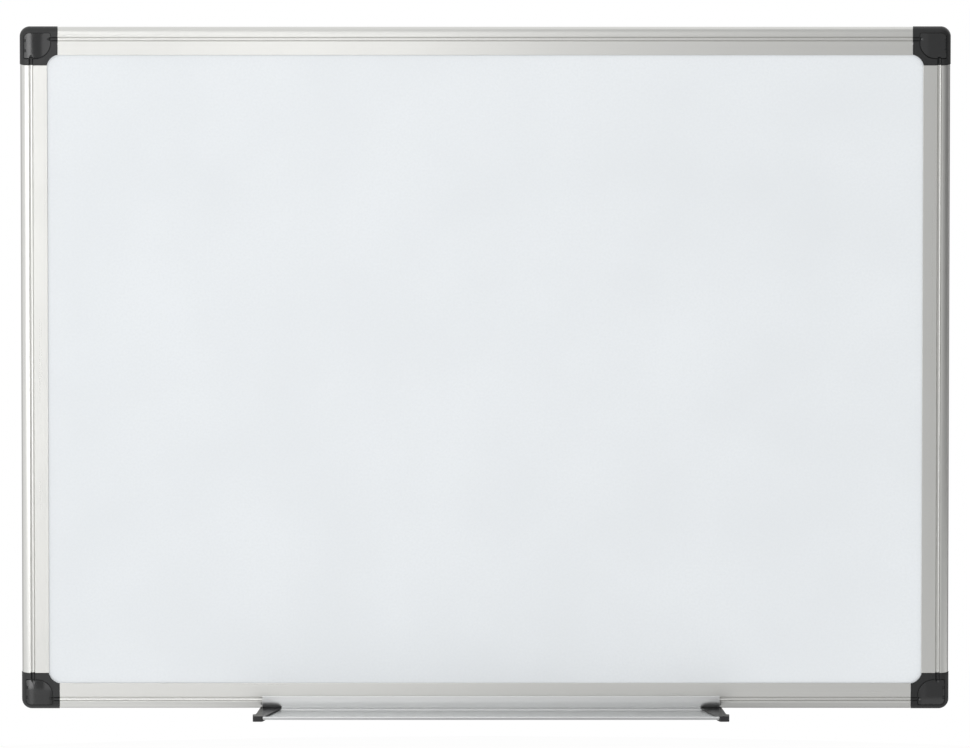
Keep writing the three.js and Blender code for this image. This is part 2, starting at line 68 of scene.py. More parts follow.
class Carve(Enum):
    """What one shape does to another."""

    CUT = "DIFFERENCE"
    JOIN = "UNION"
    KEEP = "INTERSECT"


class Grain(Enum):
    """The axis that a drawn or extruded surface's lines run along."""

    ALONG_X = 0
    ALONG_Z = 2


class Corner(Enum):
    """The four corners, each with its side and its height as signs."""

    TOP_LEFT = (-1, 1)
    TOP_RIGHT = (1, 1)
    BOTTOM_LEFT = (-1, -1)
    BOTTOM_RIGHT = (1, -1)

    @property
    def label(self) -> str:
        """The corner's name as the frame's nodes and bodies spell it."""
        return self.name.lower()

    def place(self) -> Matrix:
        """Puts a corner's own axes, in from its two edges and out from the wall, in the frame.

        Returns:
            The matrix that takes a piece there.
        """
        side, height = self.value
        place = axes(-side * X, -height * Z, -Y)
        place.translation = (side * HALF_WIDTH * MM, 0, height * HALF_HEIGHT * MM)
        return place


# Modelling by hand.


def axes(x: Vector, y: Vector, z: Vector) -> Matrix:
    """The matrix that sends the X, Y and Z axes along three others."""
    return Matrix((x, y, z)).transposed().to_4x4()


def only(obj: bpy.types.Object) -> None:
    """Selects one object alone and makes it active.

    Args:
        obj: the object to work on.
    """
    bpy.ops.object.select_all(action="DESELECT")
    obj.select_set(True)
    bpy.context.view_layer.objects.active = obj


def pick(obj: bpy.types.Object, kind: str, wanted: Callable[[list[Vector]], bool]) -> None:
    """Opens an object in edit mode with some of its edges or faces selected.

    Args:
        obj: the object to work on.
        kind: "EDGE" or "FACE".
        wanted: whether one is selected, from its vertices' places in millimetres.
    """
    only(obj)
    bpy.ops.object.mode_set(mode="EDIT")
    bpy.ops.mesh.select_all(action="DESELECT")
    bpy.ops.object.mode_set(mode="OBJECT")
    for part in obj.data.edges if kind == "EDGE" else obj.data.polygons:
        part.select = wanted([obj.data.vertices[i].co / MM for i in part.vertices])
    bpy.ops.object.mode_set(mode="EDIT")
    bpy.ops.mesh.select_mode(type=kind)


def close() -> None:
    """Leaves edit mode, which selects by vertex again."""
    bpy.ops.mesh.select_mode(type="VERT")
    bpy.ops.object.mode_set(mode="OBJECT")


def face_out(obj: bpy.types.Object, merge: float = WELD) -> None:
    """Merges an object's doubles and turns its faces outwards.

    Args:
        obj: a closed mesh object.
        merge: how near two vertices are one, in millimetres, or 0 to merge none.
    """
    only(obj)
    bpy.ops.object.mode_set(mode="EDIT")
    bpy.ops.mesh.select_all(action="SELECT")
    if merge:
        bpy.ops.mesh.remove_doubles(threshold=merge * MM)
        bpy.ops.mesh.dissolve_degenerate(threshold=merge * MM)
    bpy.ops.mesh.normals_make_consistent(inside=False)
    bpy.ops.object.mode_set(mode="OBJECT")


def carve(obj: bpy.types.Object, tool: bpy.types.Object, how: Carve) -> None:
    """Cuts, joins or keeps an object by a tool, and removes the tool.

    Args:
        obj: the piece being made.
        tool: the shape that works on it.
        how: what the tool does.
    """
    modifier = obj.modifiers.new("carve", "BOOLEAN")
    modifier.operation = how.value
    modifier.solver = "EXACT"
    modifier.object = tool
    only(obj)
    bpy.ops.object.modifier_apply(modifier=modifier.name)
    bpy.data.objects.remove(tool)


def block(x: Span, y: Span, z: Span) -> bpy.types.Object:
    """A rectangular tool between pairs of bounds.

    Args:
        x: lowest and highest X, in millimetres.
        y: lowest and highest Y.
        z: lowest and highest Z.

    Returns:
        The tool, as a mesh object.
    """
    bpy.ops.object.select_all(action="DESELECT")
    middle = [sum(pair) / 2 * MM for pair in (x, y, z)]
    bpy.ops.mesh.primitive_cube_add(size=1, location=middle)
    tool = bpy.context.object
    tool.scale = [(pair[1] - pair[0]) * MM for pair in (x, y, z)]
    bpy.ops.object.transform_apply(location=True, rotation=True, scale=True)
    return tool


def rod(
    start: Vector, end: Vector, radius: float, sides: int, end_radius: float | None = None
) -> bpy.types.Object:
    """A round tool from one point to another, straight or tapered.

    Args:
        start: middle of the first end, in millimetres.
        end: middle of the last end.
        radius: radius at the start.
        sides: how many sides it has.
        end_radius: radius at the end, where it differs.

    Returns:
        The tool, as a mesh object.
    """
    bpy.ops.object.select_all(action="DESELECT")
    run = end - start
    bpy.ops.mesh.primitive_cone_add(
        vertices=sides,
        radius1=radius * MM,
        radius2=(radius if end_radius is None else end_radius) * MM,
        depth=run.length * MM,
    )
    tool = bpy.context.object
    turn = run.to_track_quat("Z", "Y").to_matrix().to_4x4()
    tool.data.transform(Matrix.Translation((start + end) / 2 * MM) @ turn)
    return tool


class Pen:
    """Draws a closed outline as by hand: one vertex, extruded along lines and spun along arcs."""

    def __init__(self, name: str, x: float, y: float) -> None:
        """Starts an outline.

        Args:
            name: name of the object that the outline becomes.
            x: first place, in millimetres.
            y: first place.
        """
        bpy.ops.object.select_all(action="DESELECT")
        bpy.ops.mesh.primitive_plane_add(size=MM)
        self.obj = bpy.context.object
        self.obj.name = name
        bpy.ops.object.mode_set(mode="EDIT")
        bpy.ops.mesh.select_all(action="SELECT")
        bpy.ops.mesh.merge(type="CENTER")
        bpy.ops.transform.translate(value=(x * MM, y * MM, 0))
        self.start = (x, y)
        self.at = (x, y)

    def line(self, x: float, y: float) -> "Pen":
        """Draws a straight line to a place, and nothing where the pen is there already.

        Args:
            x: the place, in millimetres.
            y: the place.

        Returns:
            The pen.
        """
        step = (x - self.at[0], y - self.at[1])
        if math.hypot(*step) > 1e-6:
            bpy.ops.mesh.extrude_vertices_move(
                TRANSFORM_OT_translate={"value": (step[0] * MM, step[1] * MM, 0)}
            )
        self.at = (x, y)
        return self

    def arc(
        self, x: float, y: float, radius: float, start: float, end: float, steps: int
    ) -> "Pen":
        """Draws an arc about a centre, with a line to where the arc starts.

        Args:
            x: the centre, in millimetres.
            y: the centre.
            radius: the arc's radius.
            start: the angle it starts at, in degrees.
            end: the angle it ends at.
            steps: how many chords it has.

        Returns:
            The pen.
        """
        first, last = math.radians(start), math.radians(end)
        self.line(x + radius * math.cos(first), y + radius * math.sin(first))
        bpy.ops.mesh.spin(
            steps=steps, angle=first - last, center=(x * MM, y * MM, 0), axis=(0, 0, 1)
        )
        self.at = (x + radius * math.cos(last), y + radius * math.sin(last))
        return self

    def solid(self, low: float, high: float) -> bpy.types.Object:
        """Closes the outline, fills it and pulls it up into a solid.

        Args:
            low: height of its underside, in millimetres.
            high: height of its top.

        Returns:
            The solid, its faces outwards.
        """
        self.line(*self.start)
        bpy.ops.mesh.select_all(action="SELECT")
        bpy.ops.mesh.remove_doubles(threshold=WELD * MM)
        bpy.ops.mesh.edge_face_add()
        bpy.ops.transform.translate(value=(0, 0, low * MM))
        bpy.ops.mesh.extrude_region_move(
            TRANSFORM_OT_translate={"value": (0, 0, (high - low) * MM)}
        )
        bpy.ops.mesh.select_all(action="SELECT")
        bpy.ops.mesh.normals_make_consistent(inside=False)
        bpy.ops.object.mode_set(mode="OBJECT")
        return self.obj

    def turned(self, sides: int) -> bpy.types.Object:
        """Closes the outline and spins it round Y into a turned solid.

        Args:
            sides: how many sides the solid has.

        Returns:
            The solid, its faces outwards.
        """
        bpy.ops.mesh.select_all(action="SELECT")
        bpy.ops.mesh.spin(steps=sides, angle=2 * math.pi, center=(0, 0, 0), axis=(0, 1, 0))
        bpy.ops.mesh.select_all(action="SELECT")
        bpy.ops.mesh.remove_doubles(threshold=WELD * MM)
        bpy.ops.mesh.normals_make_consistent(inside=False)
        bpy.ops.object.mode_set(mode="OBJECT")
        return self.obj


def twin(obj: bpy.types.Object, name: str, place: Matrix) -> bpy.types.Object:
    """A copy of a shape with its own mesh, put in its place in the frame.

    Args:
        obj: the shape, modelled once in its own axes.
        name: the copy's name.
        place: where the copy stands.

    Returns:
        The copy, at the origin with its place in its mesh.
    """
    only(obj)
    bpy.ops.object.duplicate()
    copy = bpy.context.object
    copy.name = name
    copy.data.transform(place)
    face_out(copy, 0)
    return copy


def break_edges(obj: bpy.types.Object, width: float, clamp: bool = True) -> None:
    """Breaks a piece's sharp edges, as its mould or die left them.

    Args:
        obj: the shape.
        width: width of the broken edges, in millimetres.
        clamp: whether short edges beside a broken one make it narrower.
    """
    only(obj)
    bevel = obj.modifiers.new("broken edges", "BEVEL")
    bevel.width = width * MM
    bevel.segments = 2
    bevel.limit_method = "ANGLE"
    bevel.angle_limit = BROKEN
    bevel.use_clamp_overlap = clamp
    bpy.ops.object.modifier_apply(modifier=bevel.name)


def smooth(obj: bpy.types.Object) -> None:
    """Shades a piece smooth, its flat faces flat.

    Args:
        obj: the finished shape, in its place.
    """
    only(obj)
    bpy.ops.object.shade_smooth_by_angle(angle=CREASED)
    normals = obj.modifiers.new("flat faces stay flat", "WEIGHTED_NORMAL")
    normals.keep_sharp = True
    bpy.ops.object.modifier_apply(modifier=normals.name)


def soften(obj: bpy.types.Object, width: float) -> None:
    """Breaks a piece's sharp edges and shades it smooth.

    Args:
        obj: the finished shape, in its place.
        width: width of the broken edges, in millimetres.
    """
    break_edges(obj, width)
    smooth(obj)


def fit(
    obj: bpy.types.Object, node: str, body: str, material: bpy.types.Material
) -> None:
    """Gives a piece its finish and puts it in the place of its frame node.

    Args:
        obj: the finished piece.
        node: the node that it stands for.
        body: the body that it moves with.
        material: its finish.
    """
    obj.data.materials.clear()
    obj.data.materials.append(material)
    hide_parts(node)
    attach(obj, body)
    log.info("%s stands for %s, %d faces", obj.name, node, len(obj.data.polygons))


# Finishes.


def linear(code: str) -> tuple[float, float, float, float]:
    """A hex colour, as a screen shows it, in the linear values that a shader takes.

    Args:
        code: the colour, such as "#C8C9C7".

    Returns:
        Red, green, blue and alpha.
    """
    parts = [int(code[i : i + 2], 16) / 255 for i in (1, 3, 5)]
    r, g, b = (p / 12.92 if p <= 0.04045 else ((p + 0.055) / 1.055) ** 2.4 for p in parts)
    return (r, g, b, 1.0)


def add_node(
    tree: bpy.types.NodeTree,
    kind: str,
    settings: dict | None = None,
    links: dict | None = None,
) -> bpy.types.Node:
    """Adds a node with its settings and links.

    Args:
        tree: the material's or world's node tree.
        kind: the node's type.
        settings: values of its sockets, by name or number, and of its properties, by name.
        links: the socket of another node that feeds each of its sockets.

    Returns:
        The node.
    """
    node = tree.nodes.new(kind)
    for key, value in (settings or {}).items():
        if isinstance(key, int) or key in node.inputs:
            node.inputs[key].default_value = value
        else:
            setattr(node, key, value)
    for key, source in (links or {}).items():
        tree.links.new(source, node.inputs[key])
    return node


def fresh(name: str) -> tuple[bpy.types.Material, bpy.types.NodeTree, bpy.types.Node]:
    """A new material with an empty tree and its output.

    Args:
        name: the material's name.

    Returns:
        The material, its tree and its output node.
    """
    material = bpy.data.materials.new(name)
    material.use_nodes = True
    tree = material.node_tree
    tree.nodes.clear()
    return material, tree, add_node(tree, "ShaderNodeOutputMaterial")


@dataclass(frozen=True)
class Finish:
    """Two colours, a roughness and a bump, varied by a fine grain and by slow clouds."""

    name: str
    colour: str
    second: str
    roughness: float
    spread: float
    bump_mm: float

    def patterns(
        self, tree: bpy.types.NodeTree, scale: list[float], rough: float, clouds: float
    ) -> tuple[bpy.types.NodeSocket, ...]:
        """Adds the grain and the clouds, which lie in the piece's own axes.

        Args:
            tree: the material's node tree.
            scale: how many grains a metre has along each axis.
            rough: how rough the grain's own outline is.
            clouds: how many clouds a metre has.

        Returns:
            The grain, the clouds, and the two multiplied.
        """
        place = add_node(tree, "ShaderNodeTexCoord").outputs["Object"]
        spread = add_node(tree, "ShaderNodeMapping", {"Scale": scale}, {"Vector": place})
        noises = []
        for settings, vector in (
            ({"Scale": 1.0, "Detail": 3.0, "Roughness": rough}, spread.outputs["Vector"]),
            ({"Scale": clouds, "Detail": 2.0}, place),
        ):
            noise = add_node(tree, "ShaderNodeTexNoise", settings, {"Vector": vector})
            noises.append(noise.outputs["Fac"])
        links = dict(enumerate(noises))
        both = add_node(tree, "ShaderNodeMath", {"operation": "MULTIPLY"}, links)
        return (*noises, both.outputs[0])

    def surface(
        self,
        tree: bpy.types.NodeTree,
        mix: bpy.types.NodeSocket,
        gloss: bpy.types.NodeSocket,
        limits: Span,
        bump: tuple[bpy.types.NodeSocket, float],
        settings: dict[str, float],
    ) -> bpy.types.NodeSocket:
        """Adds the shader with its colour, roughness and bump.

        Args:
            tree: the material's node tree.
            mix: how the two colours mix.
            gloss: what the roughness follows.
            limits: the values of it that give the lowest and the highest roughness.
            bump: the height that the bump follows, and its strength.
            settings: the shader's own sockets.

        Returns:
            The surface.
        """
        colours = {"data_type": "RGBA", 6: linear(self.colour), 7: linear(self.second)}
        colour = add_node(tree, "ShaderNodeMix", colours, {0: mix})
        span = {
            "From Min": limits[0],
            "From Max": limits[1],
            "To Min": self.roughness - self.spread,
            "To Max": self.roughness + self.spread,
        }
        rough = add_node(tree, "ShaderNodeMapRange", span, {"Value": gloss})
        height, strength = bump
        depth = {"Strength": strength, "Distance": self.bump_mm * MM}
        relief = add_node(tree, "ShaderNodeBump", depth, {"Height": height})
        links = {
            "Base Color": colour.outputs[2],
            "Roughness": rough.outputs["Result"],
            "Normal": relief.outputs["Normal"],
        }
        return add_node(tree, "ShaderNodeBsdfPrincipled", settings, links).outputs[0]


@dataclass(frozen=True)
class ExtrudedAluminium(Finish):
    """Clear-anodised extruded aluminium.

    Etching before the anodic coat leaves it satin, and the die leaves faint lines along it.
    The real lines are some 0.2 mm apart, too fine to show, so they are drawn at line_mm.
    """

    colour: str = "#D4D4D1"
    second: str = "#D8D8D5"
    roughness: float = 0.3
    spread: float = 0.03
    bump_mm: float = 0.002
    line_mm: float = 1.4
    line_length_mm: float = 900.0
    clouds: float = 9.0

    def material(self, grain: Grain) -> bpy.types.Material:
        """Makes the finish.

        Args:
            grain: the axis that the die lines run along.

        Returns:
            The material.
        """
        material, tree, output = fresh(f"{self.name} {grain.name.lower()}")
        scale = [1 / (self.line_mm * MM)] * 3
        scale[grain.value] = 1 / (self.line_length_mm * MM)
        lines, _, both = self.patterns(tree, scale, 0.6, self.clouds)
        metal = {"Metallic": 1.0}
        surface = self.surface(tree, lines, both, (0.1, 0.45), (lines, 0.35), metal)
        tree.links.new(surface, output.inputs["Surface"])
        return material


@dataclass(frozen=True)
class Speckled(Finish):
    """A surface of one colour with a fine second colour through it, such as plastic or board.

    The grain is worked out from a real size, and its bump gives the surface its texture.
    """

    grain_mm: float
    cloud_mm: float
    ior: float = 1.5
    stretch: tuple[float, float, float] = (1.0, 1.0, 1.0)
    metallic: float = 0.0

    def material(self) -> bpy.types.Material:
        """Makes the finish.

        Returns:
            The material.
        """
        material, tree, output = fresh(self.name)
        scale = [share / (self.grain_mm * MM) for share in self.stretch]
        grain, clouds, both = self.patterns(tree, scale, 0.55, 1 / (self.cloud_mm * MM))
        limits = {"From Min": 0.12, "From Max": 0.4}
        mix = add_node(tree, "ShaderNodeMapRange", limits, {"Value": both}).outputs["Result"]
        own = {"Metallic": self.metallic, "IOR": self.ior}
        surface = self.surface(tree, mix, clouds, (0.0, 1.0), (grain, 0.5), own)
        tree.links.new(surface, output.inputs["Surface"])
        return material


# Resin-soaked paper pressed against a polished plate: a hard, even, half-gloss white.
MELAMINE = Speckled(
    "pressed melamine resin", "#E9EDF0", "#EEF2F5",
    roughness=0.3, spread=0.03, bump_mm=0.006, grain_mm=3.0, cloud_mm=160.0,
)
# Half-gloss black ABS from a fine spark-eroded mould: the grain spreads its highlights.
CAP_ABS = Speckled(
    "moulded black ABS, fine grain", "#121314", "#18191A",
    roughness=0.46, spread=0.05, bump_mm=0.012, grain_mm=0.8, cloud_mm=14.0,
)
# The same plastic from a polished mould, which shows clear reflections.
COVER_ABS = Speckled(
    "moulded black ABS, high gloss", "#101112", "#151617",
    roughness=0.11, spread=0.03, bump_mm=0.004, grain_mm=1.4, cloud_mm=16.0, ior=1.6,
)
# And from a plain ground mould, between the two.
TRAY_ABS = Speckled(
    "moulded black ABS, tray ends", "#171718", "#1D1D1E",
    roughness=0.22, spread=0.04, bump_mm=0.006, grain_mm=0.9, cloud_mm=14.0,
)
# Pressed wood fibre, raw at its sawn edges: matt, brown and flecked.
FIBREBOARD = Speckled(
    "raw pressed fibreboard", "#8F7350", "#B79A72",
    roughness=0.85, spread=0.05, bump_mm=0.08, grain_mm=1.2, cloud_mm=30.0, ior=1.45,
    stretch=(1, 3, 1),
)
# Unbleached balancing paper glued to the back: matt, with fibres along the sheet.
BACKING = Speckled(
    "unbleached balancing paper", "#BEB7AB", "#C8C2B7",
    roughness=0.78, spread=0.06, bump_mm=0.03, grain_mm=1.6, cloud_mm=90.0, ior=1.45,
    stretch=(0.25, 1, 1),
)
# Zinc plate on steel: a cool, slightly clouded metal.
ZINC = Speckled(
    "zinc-plated steel", "#B4B8BD", "#CBCED2",
    roughness=0.34, spread=0.08, bump_mm=0.004, grain_mm=1.2, cloud_mm=4.0, metallic=1.0,
)
# The rails are half bright. The tray is paler and more matt, as it was etched for longer.
RAIL_ALUMINIUM = ExtrudedAluminium("clear anodised aluminium rail")
TRAY_ALUMINIUM = ExtrudedAluminium("clear anodised aluminium tray", "#DADBDB", "#DEDFDF", 0.42)


# The sub-assemblies.


@dataclass
class Rails:
    """The four rails: one extrusion, cut square to length.

    A bead rounds off the outside down to the wall, then come a groove for the tray and a flat
    band that ends in a lip over the panel. Sizes are in from the outer edge and out from the
    wall.
    """

    face: float = 35.0
    depth: float = 17.0
    wall: float = 1.6
    edge_round: float = 0.5
    bead: float = 11.0
    groove: float = 2.8
    groove_middle: float = 13.9
    groove_floor: float = 1.8
    span: float = 21.0
    back_inset: float = 2.2
    lip: float = 1.5
    rear_lip_front: float = 5.7
    rear_lip_end: float = 29.0
    cap_arm: float = 48.2
    screw_set: float = 19.7
    screw_hole: float = 2.0
    broken_edge: float = 0.22

    def profile(self, name: str, length: float) -> bpy.types.Object:
        """Draws the section and pulls it to length.

        Args:
            name: the solid's name.
            length: its length, in millimetres.

        Returns:
            The solid, its length along Z.
        """
        rear = self.rear_lip_front
        height = self.depth - self.bead
        foot = self.bead - math.sqrt(self.bead**2 - height**2)
        reach = math.degrees(math.asin(height / self.bead))
        pen = Pen(name, foot, 0).line(foot + self.wall, 0)
        pen.line(foot + self.wall, self.back_inset)
        pen.line(self.span - self.wall, self.back_inset).line(self.span - self.wall, 0)
        pen.line(self.span, 0).line(self.span, rear - self.lip)
        pen.line(self.rear_lip_end, rear - self.lip).line(self.rear_lip_end, rear)
        pen.line(self.span, rear).line(self.span, self.depth - self.lip)
        pen.line(self.face, self.depth - self.lip)
        small = self.edge_round
        pen.arc(self.face - small, self.depth - small, small, 0, 90, 4)
        pen.arc(self.groove_middle, self.depth, self.groove, 0, -180, 18)
        pen.arc(self.bead, height, self.bead, 90, 180 + reach, 32)
        return pen.solid(0, length)

    def chamber(self, length: float) -> bpy.types.Object:
        """The hollow along the inside, one wall in from the bead and below the groove.

        Args:
            length: the rail's length, in millimetres.

        Returns:
            The tool that cuts it.
        """
        height = self.depth - self.bead
        top = self.depth - self.groove - self.groove_floor
        radius = self.bead - self.wall
        rise = math.degrees(math.asin((top - height) / radius))
        pen = Pen("chamber", self.wall, self.back_inset + self.wall)
        pen.line(self.span - self.wall, self.back_inset + self.wall)
        pen.line(self.span - self.wall, top)
        pen.arc(self.bead, height, radius, 180 - rise, 180, 10)
        return pen.solid(-OVERRUN, length + OVERRUN)

    def rail(self, name: str, length: float) -> bpy.types.Object:
        """One hollow rail with a screw hole near each end of its back.

        Args:
            name: the rail's name.
            length: its length, in millimetres.

        Returns:
            The rail, in its own axes.
        """
        rail = self.profile(name, length)
        carve(rail, self.chamber(length), Carve.CUT)
        for along in (self.screw_set, length - self.screw_set):
            middle = self.span / 2
            hole = rod(
                Vector((middle, -OVERRUN, along)),
                Vector((middle, self.back_inset + self.wall + 1, along)),
                self.screw_hole,
                20,
            )
            carve(rail, hole, Carve.CUT)
        return rail

    def build(self) -> None:
        """Models the two lengths, and puts the four rails in place with their finish."""
        start = self.cap_arm + SEAT
        long_rail = self.rail("long_rail", 2 * (HALF_WIDTH - start))
        short_rail = self.rail("short_rail", 2 * (HALF_HEIGHT - start))
        places = (
            ("top", long_rail, (HALF_WIDTH - start, HALF_HEIGHT), -Z, -X, Grain.ALONG_X),
            ("bottom", long_rail, (start - HALF_WIDTH, -HALF_HEIGHT), Z, X, Grain.ALONG_X),
            ("left", short_rail, (-HALF_WIDTH, HALF_HEIGHT - start), X, -Z, Grain.ALONG_Z),
            ("right", short_rail, (HALF_WIDTH, start - HALF_HEIGHT), -X, Z, Grain.ALONG_Z),
        )
        finishes = {grain: RAIL_ALUMINIUM.material(grain) for grain in Grain}
        for side, shape, (x, z), inward, along, grain in places:
            place = axes(inward, -Y, along)
            place.translation = Vector((x, 0, z)) * MM
            rail = twin(shape, f"{side}_rail", place)
            soften(rail, self.broken_edge)
            fit(rail, f"rail_{side}", "board", finishes[grain])
        for shape in (long_rail, short_rail):
            bpy.data.objects.remove(shape)


@dataclass
class CornerCaps:
    """The four moulded caps, the hinged covers in them and their rear screws.

    A corner's own axes run in from its side edge, in from its top or bottom edge, and out
    from the wall.
    """

    arm: float = 48.2
    proud: float = 0.6
    bead: float = 11.6
    corner_radius: float = 13.0
    hollow_middle: float = 52.0
    hollow_radius: float = 18.0
    front: float = 17.6
    groove_middle: float = 13.9
    groove: float = 2.8
    side_margin: float = 5.0
    top_margin: float = 6.2
    far: float = 39.0
    cover_corner: float = 7.0
    cover_small: float = 2.0
    cover_far_radius: float = 20.0
    cover_under: float = 15.0
    gap: float = 0.6
    recess_corner: float = 5.8
    ledge: float = 2.2
    ledge_height: float = 14.7
    pocket_small: float = 2.0
    pocket_near: float = 12.0
    pocket_floor: float = 4.0
    hinge_across: float = 6.4
    hinge_height: float = 15.249
    hinge_middle: float = 22.6
    barrel: float = 1.4
    barrel_length: float = 9.4
    pin: float = 0.7
    pin_hole: float = 0.85
    pin_length: float = 2.4
    knuckle: float = 3.0
    trough_inside: float = 1.8
    trough_depth: float = 1.9
    hole: float = 3.25
    countersink: float = 6.0
    countersink_depth: float = 2.75
    boss: float = 8.0
    boss_height: float = 1.2
    tongue: float = 40.0
    tongue_across: Span = (2.0, 19.0)
    tongue_height: Span = (4.2, 12.2)
    tongue_round: tuple[float, float, float] = (11.0, 6.0, 9.0)
    nose_inset: float = 1.2
    nose_length: float = 2.0
    tongue_hole: float = 1.9
    screw_set: float = 20.0
    screw_across: float = 10.5
    screw_seat: float = 2.2
    screw_outline: tuple[Span, ...] = (
        (0, -1.5),
        (1.9, -1.5),
        (2.7, -1.25),
        (3.2, -0.75),
        (3.3, -0.3),
        (3.3, 0),
        (1.6, 0),
        (1.6, 6.5),
        (0, 8.5),
    )
    screw_slot: Span = (1.6, 0.42)
    screw_slot_height: Span = (-2.5, -0.6)
    screw_edge: float = 0.08
    panel_line: float = 69.25
    plate_back: float = 15.5
    cover_edge: float = 0.12
    cap_merge: float = 0.01
    cover_merge: float = 0.05
    crown: float = 150.0
    crown_low: float = 78.0
    run_out: float = 5.5
    tab_wall: float = 1.2
    tab_length: float = 8.0
    tab_inset: float = 2.0
    tab_drop: float = 2.4
    arc_gap: float = 0.5

    def rolled(self, name: str, low: float, high: float, rim: float) -> bpy.types.Object:
        """The cap's outline pulled up, with its outer sides rolled over at one end.

        Args:
            name: the solid's name.
            low: height of its underside, in millimetres.
            high: height of its top.
            rim: the height, one of those two, whose outer edges are rolled.

        Returns:
            The solid.
        """
        edge, centre = -self.proud, self.corner_radius - self.proud
        dip = math.sqrt(self.hollow_radius**2 - (self.hollow_middle - self.arm) ** 2)
        tilt = math.degrees(math.asin((self.hollow_middle - self.arm) / self.hollow_radius))
        pen = Pen(name, edge, self.arm)
        pen.arc(centre, centre, self.corner_radius, 180, 270, 20)
        pen.line(self.arm, edge).line(self.arm, self.hollow_middle - dip)
        middle, radius = self.hollow_middle, self.hollow_radius
        pen.arc(middle, middle, radius, 270 - tilt, 180 + tilt, 18)
        cap = pen.solid(low, high)

        def outer_rim(ends: list[Vector]) -> bool:
            """Whether an edge runs along an outer side, at the rim's height."""
            outer = all(
                abs(p.x - edge) < NEAR or abs(p.y - edge) < NEAR or max(p.x, p.y) < centre
                for p in ends
            )
            return outer and all(abs(p.z - rim) < NEAR for p in ends)

        pick(cap, "EDGE", outer_rim)
        bpy.ops.mesh.bevel(
            offset=self.bead * MM, segments=20, profile=0.5, affect="EDGES", clamp_overlap=False
        )
        close()
        face_out(cap)
        return cap

    def blank(self, name: str) -> bpy.types.Object:
        """The cap's outer form, without its recess: round outer sides that turn in at the wall.

        Args:
            name: the solid's name.

        Returns:
            The solid.
        """
        waist = self.front - self.bead
        cap = self.rolled(name, 0, self.front, self.front)
        low = waist - self.bead
        carve(cap, self.rolled("turned_in", low, self.front + OVERRUN, low), Carve.KEEP)
        return cap

    def lid_outline(
        self,
        name: str,
        near: float,
        low: float,
        far: float,
        radii: tuple[float, float, float],
        steps: tuple[int, int, int],
    ) -> Pen:
        """Draws a lid's outline: a corner at the hinge, two small ones and a wide arc.

        Args:
            name: name of the solid it becomes.
            near: its side at the hinge, in from the board's side edge, in millimetres.
            low: its side along the board's top or bottom edge.
            far: its two other sides.
            radii: radius at the hinge, at the small corners and of the wide arc.
            steps: how many chords each of them has.

        Returns:
            The pen, ready to be pulled up.
        """
        corner, small, big = radii
        fine, few, many = steps
        pen = Pen(name, near, low + corner)
        pen.arc(near + corner, low + corner, corner, 180, 270, fine)
        pen.arc(far - small, low + small, small, 270, 360, few)
        pen.arc(far - big, far - big, big, 0, 90, many)
        pen.arc(near + small, far - small, small, 90, 180, few)
        return pen

    def cover_outline(self, name: str, grow: float, corner: float, wider: float = 0.0) -> Pen:
        """Draws the cover's outline, or the recess's around it.

        Args:
            name: name of the solid it becomes.
            grow: how far it grows on every side, in millimetres.
            corner: radius of the corner at the hinge.
            wider: how much more it grows on the sides away from the board's edges.

        Returns:
            The pen, ready to be pulled up.
        """
        near, low, out = self.side_margin - grow, self.top_margin - grow, grow + wider
        radii = (corner, self.cover_small + grow, self.cover_far_radius + out)
        return self.lid_outline(name, near, low, self.far + out, radii, (14, 6, 26))

    def pocket(self) -> bpy.types.Object:
        """The deep recess inside the ledge.

        Returns:
            The tool that cuts it.
        """
        low, far = self.top_margin + self.ledge, self.far - self.ledge
        radii = (self.pocket_small, self.pocket_small, self.cover_far_radius - self.ledge)
        pen = self.lid_outline("pocket", self.pocket_near, low, far, radii, (5, 5, 24))
        return pen.solid(self.pocket_floor, self.front + OVERRUN)

    def tongue_solid(self) -> bpy.types.Object:
        """The tongue that fills a rail's chamber, its nose tapered and its screw hole cut.

        Returns:
            The tongue, along X.
        """
        (near, far), (low, high) = self.tongue_across, self.tongue_height
        middle, waist, radius = self.tongue_round
        rise = math.degrees(math.asin((high - waist) / radius))
        pen = Pen("tongue", near, low).line(far, low).line(far, high)
        pen.arc(middle, waist, radius, 180 - rise, 180, 8)
        tip = self.arm + self.tongue
        tongue = pen.solid(self.arm - OVERRUN, tip)
        pick(tongue, "FACE", lambda corners: all(p.z > tip - NEAR for p in corners))
        bpy.ops.mesh.inset(thickness=self.nose_inset * MM, depth=0)
        bpy.ops.transform.translate(value=(0, 0, self.nose_length * MM))
        close()
        tongue.data.transform(axes(Y, Z, X))
        at, across = self.arm + self.screw_set, self.screw_across
        hole = rod(Vector((at, across, -1)), Vector((at, across, 20)), self.tongue_hole, 20)
        carve(tongue, hole, Carve.CUT)
        return tongue

    def knuckle_starts(self) -> tuple[float, float]:
        """Where the two knuckles start along the hinge."""
        reach = self.barrel_length / 2 + SEAT
        return (self.hinge_middle - reach - self.knuckle, self.hinge_middle + reach)

